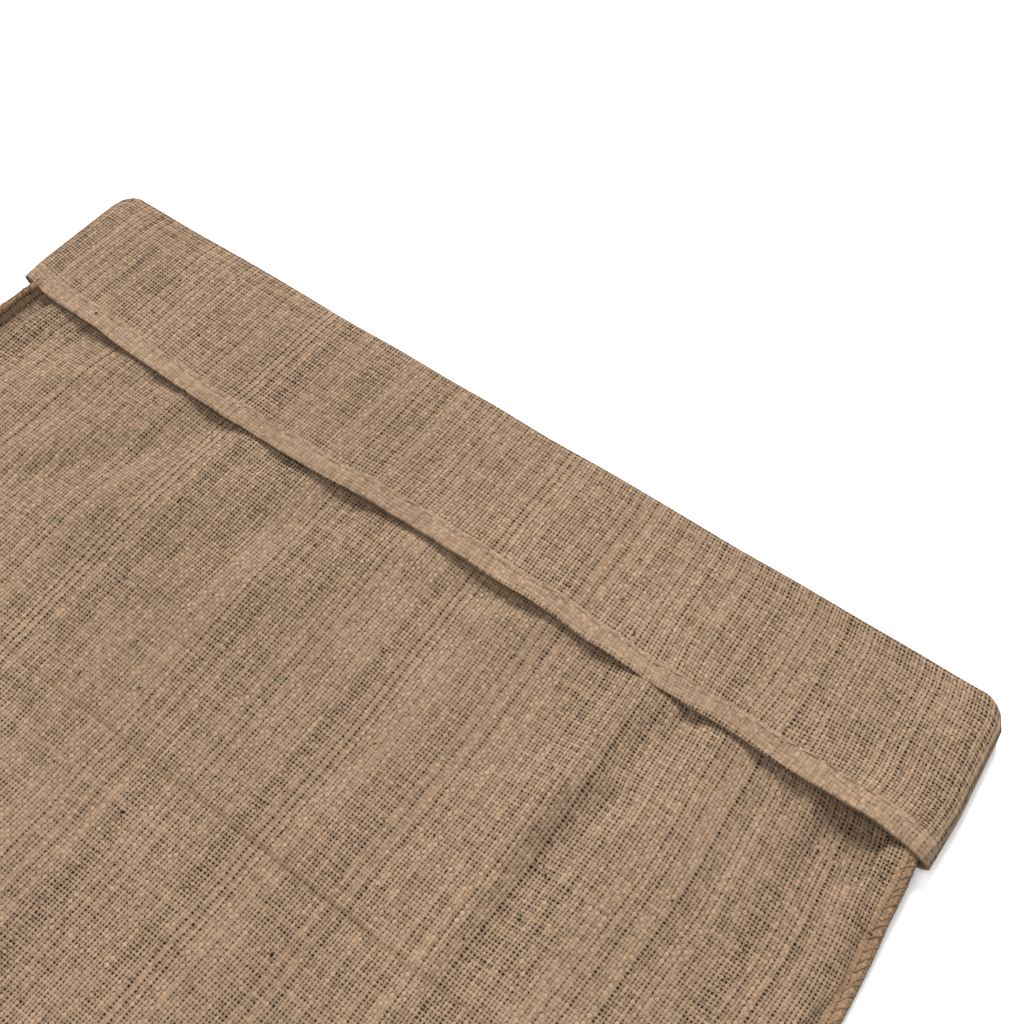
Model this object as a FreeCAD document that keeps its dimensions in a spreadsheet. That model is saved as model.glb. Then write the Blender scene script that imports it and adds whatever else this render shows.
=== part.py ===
import FreeCAD, Part
import Sketcher
import math
import os

# Sack race bag lying flat on its back. X runs across the sack, +Y runs to the mouth and Z is up.
# The origin is the middle of the sack's underside. The cloth at the mouth is turned down outside
# the sack all round as a cuff, so there is a front cuff on top and a back cuff underneath.

os.makedirs("parts", exist_ok=True)
doc = FreeCAD.newDocument("SackRaceBag")

# ---- sizes, in millimetres ----
sheet = doc.addObject("Spreadsheet::Sheet", "Sizes")
SIZES = [
    ("cloth", 1.2),  # one ply of jute cloth
    ("half_length", 462.5),  # bottom fold to middle of the length, with the cuff turned down
    ("half_width", 305.0),  # seam edge to the middle line, in the body of the sack
    ("half_width_bottom", 302.0),  # the same at the bottom corners
    ("half_width_cuff", 286.0),  # the same where the cuff grips the sack
    ("seam_flange", 10.0),  # width of cloth held by the side seam
    ("side_slope", 24.0),  # width over which the front panel comes down to the seam
    ("side_slope_cuff", 9.0),  # the same inside the cuff
    ("bottom_radius", 2.2),  # outside radius of the fold along the bottom
    ("bottom_rise", 68.0),  # length over which the sack thickens from its bottom fold
    ("lower_cuff_step", 28.0),  # length over which the panels rise to pass through the cuff
    ("cuff_step_gap", 4.0),  # from the end of that rise to the cuff's free edge
    ("front_low", 3.2),  # underside of the front panel at the bottom fold
    ("front_high", 10.0),  # underside of the front panel in the body
    ("front_cuffed", 11.0),  # underside of the front panel inside the cuff
    ("back_cuffed", 3.8),  # underside of the back panel inside the cuff
    ("seam_height", 2.8),  # where the two plies of the seam meet, in the body
    ("seam_height_cuffed", 8.0),  # the same inside the cuff
    ("cuff_depth", 90.0),  # mouth fold to the cuff's free edge
    ("fold_outside", 1.9),  # outside radius of the mouth folds
    ("front_fold_height", 12.9),  # centre of the front mouth fold
    ("back_fold_height", 3.1),  # centre of the back mouth fold
    ("fold_half_width", 283.0),  # half length of the mouth folds
    ("cuff_half_fold", 295.0),  # side of the cuff at the mouth fold
    ("cuff_half_edge", 304.0),  # side of the cuff at its free edge
    ("cuff_slope", 12.0),  # width over which the cuff closes at its sides
    ("front_cuff_height", 13.6),  # underside of the front cuff
    ("front_cuff_side", 8.0),  # the same at its side edges
    ("back_cuff_height", 1.2),  # underside of the back cuff
    ("back_cuff_side", 6.1),  # the same at its side edges
    ("hem_width", 12.0),  # turned ply along the mouth edge
    ("stitch_pitch", 7.0),  # along the side seams
    ("stitch_reach", 7.0),  # from the seam edge in to where the twine goes through the cloth
    ("twine_thick", 1.2),
    ("twine_wide", 1.8),
    ("stitch_slant", 24.0),  # degrees
    ("hem_stitch", 6.0),
    ("hem_stitch_pitch", 9.0),
    ("hem_stitch_inset", 1.6),  # from the turned ply's raw edge
    ("thread", 1.0),
]
for row, (word, number) in enumerate(SIZES, start=1):
    sheet.set("A%d" % row, word)
    sheet.set("B%d" % row, str(number))
    sheet.setAlias("B%d" % row, word)
doc.recompute()


def size(word):
    return float(sheet.get(word))


def value(sum_of_sizes):
    """The number that a sum such as 'half_width - seam_flange' gives."""
    total = 0.0
    sign = 1.0
    for word in sum_of_sizes.split():
        if word == "+":
            sign = 1.0
        elif word == "-":
            sign = -1.0
        else:
            total += sign * size(word)
            sign = 1.0
    return total


def bound(sum_of_sizes):
    """The same sum as an expression on the sheet."""
    words = [w if w in ("+", "-") else "Sizes." + w for w in sum_of_sizes.split()]
    return " ".join(words)


def mirrored(sum_of_sizes):
    """The same sum with every sign turned round."""
    words = sum_of_sizes.split()
    if words[0] not in ("+", "-"):
        words.insert(0, "+")
    turned = {"+": "-", "-": "+"}
    return " ".join(turned.get(word, word) for word in words)


def origin_plane(body, role):
    for feature in body.Origin.OriginFeatures:
        if feature.Role == role:
            return feature
    raise RuntimeError("no origin plane " + role)


def hold(sketch, kind, edge, end, place):
    """Ties a point of a sketch edge to a sum of sizes, measured from the sketch's origin."""
    constraint = Sketcher.Constraint(kind, -1, 1, edge, end, value(place))
    number = sketch.addConstraint(constraint)
    sketch.setExpression("Constraints[%d]" % number, bound(place))


def outline(body, name, role, corners, station=None):
    """A closed straight-sided sketch. The corners are pairs of sums of sizes."""
    sketch = body.newObject("Sketcher::SketchObject", name)
    sketch.AttachmentSupport = [(origin_plane(body, role), "")]
    sketch.MapMode = "FlatFace"
    if station is not None:
        sketch.setExpression(".AttachmentOffset.Base.z", bound(mirrored(station)))
    points = [FreeCAD.Vector(value(a), value(b), 0) for a, b in corners]
    count = len(points)
    for i in range(count):
        sketch.addGeometry(Part.LineSegment(points[i], points[(i + 1) % count]), False)
    for i in range(count):
        sketch.addConstraint(Sketcher.Constraint("Coincident", i, 2, (i + 1) % count, 1))
    for i, (across, up) in enumerate(corners):
        hold(sketch, "DistanceX", i, 1, across)
        hold(sketch, "DistanceY", i, 1, up)
    return sketch


def lofted(name, sections):
    """A body lofted straight from section to section. Each section is (place along Y, corners)."""
    body = doc.addObject("PartDesign::Body", name)
    body.Label = name
    sketches = [
        outline(body, "%s_section_%d" % (name, i), "XZ_Plane", corners, station)
        for i, (station, corners) in enumerate(sections)
    ]
    doc.recompute()
    loft = body.newObject("PartDesign::AdditiveLoft", name + "_loft")
    loft.Profile = sketches[0]
    loft.Sections = sketches[1:]
    loft.Ruled = True
    loft.Closed = False
    doc.recompute()
    return body


def symmetric(half):
    """Corners of the right half from the middle outwards, given with their mirror images."""
    right = list(half)
    left = [(mirrored(across), up) for across, up in reversed(half)]
    return left + right


def slab(underside):
    """A section one cloth thick: the underside left to right, then the top back again."""
    top = [(across, up + " + cloth") for across, up in reversed(underside)]
    return underside + top


# ---- the sack's two panels ----
# Both are one cloth thick and end at each side in the ply that the side seam holds. Towards the
# mouth they draw in and rise, so that they pass between the front and the back of the cuff.
BOTTOM = "- half_length + bottom_radius"
FOLD_AXIS = "half_length - fold_outside"
CUFF_EDGE = "half_length - fold_outside - cuff_depth"
STEP_TOP = CUFF_EDGE + " - cuff_step_gap"
STEP_FOOT = STEP_TOP + " - lower_cuff_step"
BODY_STATIONS = [
    # place along Y, half width, side slope, underside of front panel, underside of back panel, seam
    (BOTTOM, "half_width_bottom", "side_slope", "front_low", "cloth - cloth", "seam_height"),
    (
        BOTTOM + " + bottom_rise",
        "half_width",
        "side_slope",
        "front_high",
        "cloth - cloth",
        "seam_height",
    ),
    (
        STEP_FOOT + " - cuff_depth",
        "half_width",
        "side_slope",
        "front_high",
        "cloth - cloth",
        "seam_height",
    ),
    (
        STEP_FOOT,
        "half_width - cuff_step_gap - cuff_step_gap",
        "side_slope",
        "front_high",
        "cloth - cloth",
        "seam_height",
    ),
    (
        STEP_TOP,
        "half_width_cuff",
        "side_slope_cuff",
        "front_cuffed",
        "back_cuffed",
        "seam_height_cuffed",
    ),
    (
        FOLD_AXIS,
        "half_width_cuff",
        "side_slope_cuff",
        "front_cuffed",
        "back_cuffed",
        "seam_height_cuffed",
    ),
]


# Where the height of each panel's underside stands in a row of BODY_STATIONS.
FRONT = 3
BACK = 4


def middle_plate(name, stations, face):
    """The flat middle of a panel between its side slopes. face is FRONT or BACK."""
    sections = []
    for station in stations:
        shoulder = station[1] + " - seam_flange - " + station[2]
        sections.append((station[0], slab([(mirrored(shoulder), station[face]), (shoulder, station[face])])))
    return lofted(name, sections)


def seam_allowance(name, right, face, stations):
    """The side slope of a panel with the ply that the side seam holds."""
    sections = []
    for station in stations:
        half = station[1]
        ply = station[5] if face == FRONT else station[5] + " - cloth"
        underside = [
            (half + " - seam_flange - " + station[2], station[face]),
            (half + " - seam_flange", ply),
            (half, ply),
        ]
        if not right:
            underside = [(mirrored(across), up) for across, up in reversed(underside)]
        sections.append((station[0], slab(underside)))
    return lofted(name, sections)


# The front panel climbs from the bottom fold, lies level, and climbs a little more into the cuff.
front_panel_bottom = middle_plate("front_panel_bottom", BODY_STATIONS[:2], FRONT)
front_panel = middle_plate("front_panel", BODY_STATIONS[1:4], FRONT)
front_panel_shoulder = middle_plate("front_panel_shoulder", BODY_STATIONS[3:5], FRONT)
front_panel_mouth = middle_plate("front_panel_mouth", BODY_STATIONS[4:], FRONT)
back_panel = middle_plate("back_panel", BODY_STATIONS[:4], BACK)
back_panel_shoulder = middle_plate("back_panel_shoulder", BODY_STATIONS[3:5], BACK)
back_panel_mouth = middle_plate("back_panel_mouth", BODY_STATIONS[4:], BACK)
# The side strips follow the same runs: along the sack, up the shoulder, and inside the cuff.
side_strips = []
for side_name, face in (("front", FRONT), ("back", BACK)):
    for hand, right in (("right", True), ("left", False)):
        strip_name = "%s_%s_seam_allowance" % (side_name, hand)
        along_the_sack = BODY_STATIONS[:4]
        if face == FRONT:
            along_the_sack = BODY_STATIONS[1:4]
            side_strips.append(seam_allowance(strip_name + "_bottom", right, face, BODY_STATIONS[:2]))
        side_strips += [
            seam_allowance(strip_name, right, face, along_the_sack),
            seam_allowance(strip_name + "_shoulder", right, face, BODY_STATIONS[3:5]),
            seam_allowance(strip_name + "_mouth", right, face, BODY_STATIONS[4:]),
        ]


def bent_strip(name, side_on, arcs, half_span):
    """A body padded evenly to both sides of the middle from a profile in the YZ plane.

    side_on is the closed run of points as (along, up), and arcs tells which runs between
    neighbouring points are half circles and through which point they pass."""
    body = doc.addObject("PartDesign::Body", name)
    body.Label = name
    sketch = body.newObject("Sketcher::SketchObject", name + "_profile")
    sketch.AttachmentSupport = [(origin_plane(body, "YZ_Plane"), "")]
    sketch.MapMode = "FlatFace"
    points = [FreeCAD.Vector(value(a), value(b), 0) for a, b in side_on]
    count = len(points)
    for i in range(count):
        begin = points[i]
        end = points[(i + 1) % count]
        if i in arcs:
            across, up = arcs[i]
            through = FreeCAD.Vector(value(across), value(up), 0)
            sketch.addGeometry(Part.Arc(begin, through, end), False)
        else:
            sketch.addGeometry(Part.LineSegment(begin, end), False)
    for i in range(count):
        sketch.addConstraint(Sketcher.Constraint("Block", i))
    doc.recompute()
    pad = body.newObject("PartDesign::Pad", name + "_pad")
    pad.Profile = sketch
    pad.SideType = "Symmetric"
    pad.setExpression("Length", "2 * (" + bound(half_span) + ")")
    doc.recompute()
    return body


# ---- the folds of cloth along the bottom and round the mouth ----
bottom_fold = bent_strip(
    "bottom_fold",
    [
        (BOTTOM, "cloth - cloth"),
        (BOTTOM, "bottom_radius + bottom_radius"),
        (BOTTOM, "bottom_radius + bottom_radius - cloth"),
        (BOTTOM, "cloth"),
    ],
    {
        0: (BOTTOM + " - bottom_radius", "bottom_radius"),
        2: (BOTTOM + " - bottom_radius + cloth", "bottom_radius"),
    },
    "half_width_bottom - seam_flange - side_slope",
)


def mouth_fold(name, centre):
    return bent_strip(
        name,
        [
            (FOLD_AXIS, centre + " - fold_outside"),
            (FOLD_AXIS, centre + " + fold_outside"),
            (FOLD_AXIS, centre + " + fold_outside - cloth"),
            (FOLD_AXIS, centre + " - fold_outside + cloth"),
        ],
        {
            0: (FOLD_AXIS + " + fold_outside", centre),
            2: (FOLD_AXIS + " + fold_outside - cloth", centre),
        },
        "half_width_cuff - seam_flange - side_slope_cuff",
    )


front_mouth_fold = mouth_fold("front_mouth_fold", "front_fold_height")
back_mouth_fold = mouth_fold("back_mouth_fold", "back_fold_height")


# ---- the turned-down cuff ----
# Each half spans the sack and bends towards the other half at its side edges.
def cuff_run(name, section):
    """A region of the cuff from its free edge to the fold, with its section at a half width."""
    return lofted(
        name,
        [(CUFF_EDGE, section("cuff_half_edge")), (FOLD_AXIS, section("cuff_half_fold"))],
    )


def cuff(name, flat, side):
    """One half of the cuff: its level middle, and the slopes that bring it to the other half."""

    def middle_section(half):
        return slab(symmetric([(half + " - cuff_slope", flat)]))

    def right_section(half):
        return slab([(half + " - cuff_slope", flat), (half, side)])

    def left_section(half):
        return slab([(mirrored(half), side), (mirrored(half + " - cuff_slope"), flat)])

    return [
        cuff_run(name, middle_section),
        cuff_run(name + "_right_side", right_section),
        cuff_run(name + "_left_side", left_section),
    ]


cuff_halves = cuff("front_cuff", "front_cuff_height", "front_cuff_side") + cuff(
    "back_cuff", "back_cuff_height", "back_cuff_side"
)

# The mouth edge is turned once and sewn down. On the cuff the turned ply faces away from the sack.
front_hem = bent_strip(
    "front_hem",
    [
        (CUFF_EDGE, "front_cuff_height"),
        (CUFF_EDGE, "front_cuff_height + cloth + cloth"),
        (CUFF_EDGE + " + hem_width", "front_cuff_height + cloth + cloth"),
        (CUFF_EDGE + " + hem_width", "front_cuff_height + cloth"),
        (CUFF_EDGE, "front_cuff_height + cloth"),
    ],
    {0: (CUFF_EDGE + " - cloth", "front_cuff_height + cloth")},
    "cuff_half_fold - cuff_slope",
)
back_hem = bent_strip(
    "back_hem",
    [
        (CUFF_EDGE, "back_cuff_height + cloth"),
        (CUFF_EDGE, "back_cuff_height - cloth"),
        (CUFF_EDGE + " + hem_width", "back_cuff_height - cloth"),
        (CUFF_EDGE + " + hem_width", "back_cuff_height"),
        (CUFF_EDGE, "back_cuff_height"),
    ],
    {0: (CUFF_EDGE + " - cloth", "back_cuff_height")},
    "cuff_half_fold - cuff_slope",
)


def group(name, solids):
    """Alike pieces that follow a bent line, kept as separate solids in one node."""
    feature = doc.addObject("Part::Feature", name)
    feature.Label = name
    feature.Shape = Part.makeCompound(solids)
    feature.Placement = FreeCAD.Placement()
    return feature


# ---- twine of the side seams ----
# Heavy twine is laid over the two plies' edges again and again, slanting from stitch to stitch.
def overcast_loop(reach, height):
    """One turn of twine in the XZ plane, its outer leg beyond the seam edge at x = 0."""
    thick = size("twine_thick")
    wide = size("twine_wide")
    outside = Part.makeBox(
        reach + 2 * thick, wide, height + 2 * thick, FreeCAD.Vector(-reach - thick, -wide / 2, 0)
    )
    outside.translate(FreeCAD.Vector(0, 0, -height / 2 - thick))
    inside = Part.makeBox(reach, 2 * wide, height, FreeCAD.Vector(-reach, -wide, -height / 2))
    long_edges = [
        edge
        for edge in outside.Edges
        if abs(edge.Vertexes[0].Point.y - edge.Vertexes[1].Point.y) > wide / 2
    ]
    loop = outside.makeFillet(thick * 0.95, long_edges).cut(inside)
    slant = FreeCAD.Rotation(FreeCAD.Vector(0, 0, 1), size("stitch_slant"))
    middle = FreeCAD.Vector(-reach / 2, 0, 0)
    loop.Placement = FreeCAD.Placement(FreeCAD.Vector(), slant, middle)
    return loop


def seam_edge(y):
    """Half width and height of the seam edge at a place along the sack."""
    stations = [(value(s[0]), value(s[1]), value(s[5])) for s in BODY_STATIONS]
    for (y0, half0, high0), (y1, half1, high1) in zip(stations, stations[1:]):
        if y <= y1:
            share = (y - y0) / (y1 - y0)
            return half0 + share * (half1 - half0), high0 + share * (high1 - high0)
    return stations[-1][1:]


def seam_twine(name, side):
    pitch = size("stitch_pitch")
    start = value(BOTTOM) + pitch / 2
    span = value(FOLD_AXIS) - pitch / 2 - start
    count = int(span / pitch) + 1
    # a little play round the cloth, more where the seam climbs into the cuff
    loop = overcast_loop(size("stitch_reach"), 2 * size("cloth") + 0.3)
    solids = []
    for i in range(count):
        y = start + i * pitch
        half, height = seam_edge(y)
        ahead_half, ahead_height = seam_edge(y + 1.0)
        climb = math.degrees(math.atan2(ahead_height - height, 1.0))
        turn = FreeCAD.Rotation(FreeCAD.Vector(1, 0, 0), climb)
        one = loop.copy()
        one.Placement = FreeCAD.Placement(FreeCAD.Vector(half + 0.2, y, height), turn) * loop.Placement
        if side < 0:
            one = one.mirror(FreeCAD.Vector(), FreeCAD.Vector(1, 0, 0))
        solids.append(one)
    return group(name, solids)


right_seam_twine = seam_twine("right_seam_twine", 1)
left_seam_twine = seam_twine("left_seam_twine", -1)


# ---- thread of the hem ----
def hem_thread(name, height):
    """A row of stitches half sunk in the turned ply, near its raw edge."""
    pitch = size("hem_stitch_pitch")
    length = size("hem_stitch")
    y = value(CUFF_EDGE) + size("hem_width") - size("hem_stitch_inset")
    reach = value("cuff_half_fold - cuff_slope") - length
    count = int(2 * reach / pitch) + 1
    first = -(count - 1) * pitch / 2 - length / 2
    solids = [
        Part.makeCylinder(
            size("thread") / 2,
            length,
            FreeCAD.Vector(first + i * pitch, y, height),
            FreeCAD.Vector(1, 0, 0),
        )
        for i in range(count)
    ]
    return group(name, solids)


front_hem_thread = hem_thread("front_hem_thread", value("front_cuff_height + cloth + cloth"))
back_hem_thread = hem_thread("back_hem_thread", value("back_cuff_height") - size("cloth") / 2)

doc.recompute()

# ---- checks and output ----
NODES = [
    front_panel,
    front_panel_bottom,
    front_panel_shoulder,
    front_panel_mouth,
    back_panel,
    back_panel_shoulder,
    back_panel_mouth,
    *side_strips,
    bottom_fold,
    front_mouth_fold,
    back_mouth_fold,
    *cuff_halves,
    front_hem,
    back_hem,
    right_seam_twine,
    left_seam_twine,
    front_hem_thread,
    back_hem_thread,
]
for thing in doc.Objects:
    if "Invalid" in thing.State or "Error" in thing.State:
        raise RuntimeError(thing.Name + " is " + str(thing.State))
for node in NODES:
    if node.Shape.isNull() or not node.Shape.isValid() or not node.Shape.Solids:
        raise RuntimeError(node.Label + " has no valid solid")
    node.Shape.exportStep("parts/" + node.Label + ".step")
    box = node.Shape.BoundBox
    print(
        node.Label,
        len(node.Shape.Solids),
        "x %.1f %.1f y %.1f %.1f z %.2f %.2f"
        % (box.XMin, box.XMax, box.YMin, box.YMax, box.ZMin, box.ZMax),
        "mm3 %.0f" % node.Shape.Volume,
    )
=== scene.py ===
import math

import bpy
import numpy as np
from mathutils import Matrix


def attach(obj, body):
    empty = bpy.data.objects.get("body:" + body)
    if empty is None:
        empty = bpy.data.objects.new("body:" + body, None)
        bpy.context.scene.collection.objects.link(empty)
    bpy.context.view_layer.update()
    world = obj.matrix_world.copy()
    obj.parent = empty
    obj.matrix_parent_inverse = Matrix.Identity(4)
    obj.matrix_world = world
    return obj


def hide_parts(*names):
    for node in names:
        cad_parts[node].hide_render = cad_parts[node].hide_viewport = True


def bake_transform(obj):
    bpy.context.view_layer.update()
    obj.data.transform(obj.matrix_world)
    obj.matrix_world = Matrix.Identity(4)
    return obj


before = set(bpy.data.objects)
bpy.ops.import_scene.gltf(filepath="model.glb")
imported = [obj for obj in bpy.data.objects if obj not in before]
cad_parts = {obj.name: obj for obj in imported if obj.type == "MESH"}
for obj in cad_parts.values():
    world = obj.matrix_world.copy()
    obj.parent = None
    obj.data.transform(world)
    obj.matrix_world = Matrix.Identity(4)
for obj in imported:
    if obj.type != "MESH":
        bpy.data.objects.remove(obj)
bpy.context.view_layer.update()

# ---------------------------------------------------------------------------
# The sack's body: one length of jute cloth folded at the bottom, so front, bottom and back are one
# piece. It draws in and lifts where it passes inside the cuff. The front lies in soft folds left
# from storage, with one crease right across it.
CLOTH_THICKNESS = 0.0011
CLOTH_HALF_WIDTH = 0.305  # of the cloth laid flat
YARN_PITCH = 0.00203  # about twelve and a half yarns to the inch, both ways
HEM_START = 0.0965  # from the mouth fold round to the hem's turned-in layer, along the cloth
BOTTOM_END = -0.4603
MOUTH_END = 0.4606
SEAM_PLY = 0.0012  # from the plane between the two plies to each ply's outer face, at the seams
SEAM_FLANGE = 0.009  # flat width of the seam before the front starts to rise
ROW_COUNT = 115
COLUMN_COUNT = 81
# The storage crease runs across the front on a slight slant. How far up it lies is given at a
# pivot that is this far to the left of the middle.
CREASE_Y = 0.2005
CREASE_FROM_MOUTH = 0.2612
CREASE_PIVOT = 0.139
CREASE_SLOPE = 0.031


def weave_material(name, straw, dusk, shadow, bark_and_hole_shade):
    """Plain weave of single jute yarns, drawn from a piece's own map, which holds metres across
    and along the cloth. The yarns are uneven, so bands of open weave lie between packed ones."""
    material = bpy.data.materials.new(name)
    material.use_nodes = True
    nodes = material.node_tree.nodes
    links = material.node_tree.links
    nodes.clear()

    def plug(socket, given):
        if isinstance(given, tuple):
            socket.default_value = (*given, 1.0)
        elif isinstance(given, (int, float)):
            socket.default_value = given
        else:
            links.new(given, socket)

    def reckon(operation, *given):
        node = nodes.new("ShaderNodeMath")
        node.operation = operation
        for socket, value in zip(node.inputs, given):
            plug(socket, value)
        return node.outputs[0]

    def plus(first, second):
        return reckon("ADD", first, second)

    def minus(first, second):
        return reckon("SUBTRACT", first, second)

    def times(first, second):
        return reckon("MULTIPLY", first, second)

    def times_plus(first, second, third):
        return reckon("MULTIPLY_ADD", first, second, third)

    def place(first, second, third=0.0):
        node = nodes.new("ShaderNodeCombineXYZ")
        for socket, value in zip(node.inputs, (first, second, third)):
            plug(socket, value)
        return node.outputs[0]

    def unevenness(first, second, start=0.0, detail=1.0, rough=0.5):
        """Soft random grey. first and second each hold a place and how fine the grey is there."""
        node = nodes.new("ShaderNodeTexNoise")
        node.inputs["Scale"].default_value = 1.0
        node.inputs["Detail"].default_value = detail
        node.inputs["Roughness"].default_value = rough
        links.new(place(times(*first), times(*second), start), node.inputs["Vector"])
        return node.outputs["Fac"]

    def dice(first, second):
        """A random number of its own for each yarn or crossing."""
        node = nodes.new("ShaderNodeTexWhiteNoise")
        node.noise_dimensions = "2D"
        links.new(place(first, second), node.inputs["Vector"])
        return node.outputs["Value"]

    def spread(given, low, high):
        """Stretches 0 to 1 over low to high."""
        node = nodes.new("ShaderNodeMapRange")
        node.inputs["From Min"].default_value = 0.0
        node.inputs["From Max"].default_value = 1.0
        node.inputs["To Min"].default_value = low
        node.inputs["To Max"].default_value = high
        links.new(given, node.inputs["Value"])
        return node.outputs["Result"]

    def between(given, low, high):
        """Goes smoothly from 0 at low to 1 at high."""
        node = nodes.new("ShaderNodeMapRange")
        node.interpolation_type = "SMOOTHSTEP"
        node.inputs["From Min"].default_value = low
        node.inputs["From Max"].default_value = high
        links.new(given, node.inputs["Value"])
        return node.outputs["Result"]

    def mix_colour(share, first, second):
        node = nodes.new("ShaderNodeMix")
        node.data_type = "RGBA"
        plug(node.inputs["Factor"], share)
        plug(node.inputs[6], first)
        plug(node.inputs[7], second)
        return node.outputs[2]

    def mix_number(share, first, second):
        node = nodes.new("ShaderNodeMix")
        plug(node.inputs[0], share)
        plug(node.inputs[2], first)
        plug(node.inputs[3], second)
        return node.outputs[0]

    coordinates = nodes.new("ShaderNodeTexCoord")
    split = nodes.new("ShaderNodeSeparateXYZ")
    links.new(coordinates.outputs["UV"], split.inputs[0])
    across = split.outputs[0]
    along = split.outputs[1]

    # yarns wander from straight, and each lies a little off its place, both in yarn pitches
    warp_wander, weft_wander = 2.2, 2.6
    warp_stray, weft_stray = 0.17, 0.14
    wander_across = unevenness((across, 16.0), (along, 9.0), start=3.1)
    wander_along = unevenness((across, 9.0), (along, 16.0), start=7.7)
    warp_place = times_plus(wander_across, warp_wander, reckon("DIVIDE", across, YARN_PITCH))
    weft_place = times_plus(wander_along, weft_wander, reckon("DIVIDE", along, YARN_PITCH))
    warp_count = reckon("FLOOR", warp_place)
    weft_count = reckon("FLOOR", weft_place)
    warp_dice = dice(warp_count, 3.0)
    weft_dice = dice(weft_count, 11.0)
    warp_shift = spread(dice(warp_count, 29.0), -warp_stray, warp_stray)
    weft_shift = spread(dice(weft_count, 37.0), -weft_stray, weft_stray)
    off_warp = plus(minus(minus(warp_place, warp_count), 0.5), warp_shift)
    off_weft = plus(minus(minus(weft_place, weft_count), 0.5), weft_shift)

    # the hem's turned-in layer and the cloth at the overcast seams are packed close
    hemmed = between(along, HEM_START - 0.0015, HEM_START + 0.0010)
    below_the_mouth = reckon("LESS_THAN", along, -0.05)
    seamed = times(between(reckon("ABSOLUTE", across), 0.2925, 0.3010), below_the_mouth)
    packed = reckon("MAXIMUM", hemmed, seamed)
    streak = unevenness((across, 55.0), (along, 1100.0), start=61.0, detail=2.0)

    # open and close bands, slubs along single yarns, and crossings that all sit differently
    band = unevenness((across, 62.0), (along, 4.5), start=1.3, detail=2.0)
    patch = unevenness((across, 14.0), (along, 10.0), start=9.2)
    cross_band = unevenness((across, 5.0), (along, 48.0), start=5.3)
    warp_slub = unevenness((warp_count, 5.3), (along, 70.0))
    weft_slub = unevenness((across, 70.0), (weft_count, 7.1))
    crossing = dice(plus(warp_count, 0.5), plus(weft_count, 0.5))

    # how wide each yarn is, in yarn pitches: the open bands and patches take from the packed width
    packed_warp, packed_weft = 1.27, 0.80
    openness = plus(times(band, 0.84), times(patch, 0.22))
    warp_chance = plus(spread(warp_dice, -0.12, 0.12), spread(crossing, -0.17, 0.17))
    weft_chance = spread(weft_dice, -0.05, 0.05)
    warp_width = plus(
        plus(warp_chance, spread(warp_slub, -0.22, 0.22)),
        times_plus(packed, 0.22, minus(packed_warp, openness)),
    )
    weft_width = plus(
        plus(weft_chance, spread(weft_slub, -0.14, 0.14)),
        times_plus(packed, 0.16, times_plus(cross_band, -0.24, packed_weft)),
    )

    # height of each yarn: a round back that rises over one crossing and dips under the next
    yarn_rise = 0.32
    weft_lowness = 0.84
    hem_flatness = 0.42
    parity = reckon("FLOORED_MODULO", plus(warp_count, weft_count), 2.0)
    over = times_plus(parity, -2.0, 1.0)

    def yarn_height(offset, width, rise):
        share = reckon("DIVIDE", times(reckon("ABSOLUTE", offset), 2.0), width)
        back = reckon("SQRT", reckon("MAXIMUM", minus(1.0, times(share, share)), 0.0))
        covered = reckon("LESS_THAN", share, 1.0)
        return times(times_plus(rise, yarn_rise, times_plus(back, 0.5, 0.5)), covered)

    warp_rise = times(over, reckon("COSINE", times(off_weft, math.pi)))
    weft_rise = times(times(over, -1.0), reckon("COSINE", times(off_warp, math.pi)))
    warp_height = yarn_height(off_warp, warp_width, warp_rise)
    weft_height = times(yarn_height(off_weft, weft_width, weft_rise), weft_lowness)
    woven = reckon("MAXIMUM", warp_height, weft_height)
    flattened = times(minus(spread(streak, 0.50, 1.30), woven), hem_flatness)
    height = times_plus(flattened, hemmed, woven)
    warp_on_top = reckon("GREATER_THAN", warp_height, weft_height)

    # colour of the yarns, with fibres that run along whichever yarn lies on top
    seam_brown = (0.16, 0.1008, 0.0584)
    hue = unevenness((across, 9.0), (along, 7.0), start=21.0, detail=3.0)
    stain = unevenness((across, 30.0), (along, 6.0), start=40.0, detail=3.0)
    base = mix_colour(between(hue, 0.30, 0.70), dusk, straw)
    warp_tone = plus(spread(warp_dice, 0.84, 1.10), spread(warp_slub, -0.16, 0.20))
    weft_tone = plus(spread(weft_dice, 0.92, 1.06), spread(weft_slub, -0.10, 0.12))
    fibre = mix_number(
        warp_on_top,
        unevenness((across, 520.0), (along, 2600.0), detail=2.0, rough=0.7),
        unevenness((across, 2600.0), (along, 420.0), detail=2.0, rough=0.7),
    )
    tone = times(mix_number(warp_on_top, weft_tone, warp_tone), spread(fibre, 0.50, 1.50))
    tone = times(tone, spread(stain, 0.91, 1.09))
    tone = times(tone, spread(crossing, 0.86, 1.14))
    tone = plus(tone, times(hemmed, spread(streak, -0.22, 0.26)))
    # painted shade: the low parts of the weave, between and under the yarns, are painted darker
    # towards the shadow colour
    depth = between(height, 0.34, 1.10)
    lit = nodes.new("ShaderNodeVectorMath")
    lit.operation = "SCALE"
    links.new(mix_colour(depth, shadow, mix_colour(seamed, base, seam_brown)), lit.inputs[0])
    links.new(tone, lit.inputs["Scale"])

    # painted shade: the line of the storage crease is painted a little darker and browner, as the
    # shade in the crease
    crease_shade_brown = (0.112, 0.067, 0.033)
    from_crease = times_plus(
        plus(across, CREASE_PIVOT), CREASE_SLOPE, plus(along, CREASE_FROM_MOUTH)
    )
    crease_gap = reckon("ABSOLUTE", plus(from_crease, times_plus(stain, 0.006, -0.003)))
    on_crease = minus(1.0, between(crease_gap, 0.0004, 0.0022))
    crease_shade_share = times(on_crease, spread(patch, -0.4, 1.2))
    crease_shaded = mix_colour(crease_shade_share, lit.outputs[0], crease_shade_brown)
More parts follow.
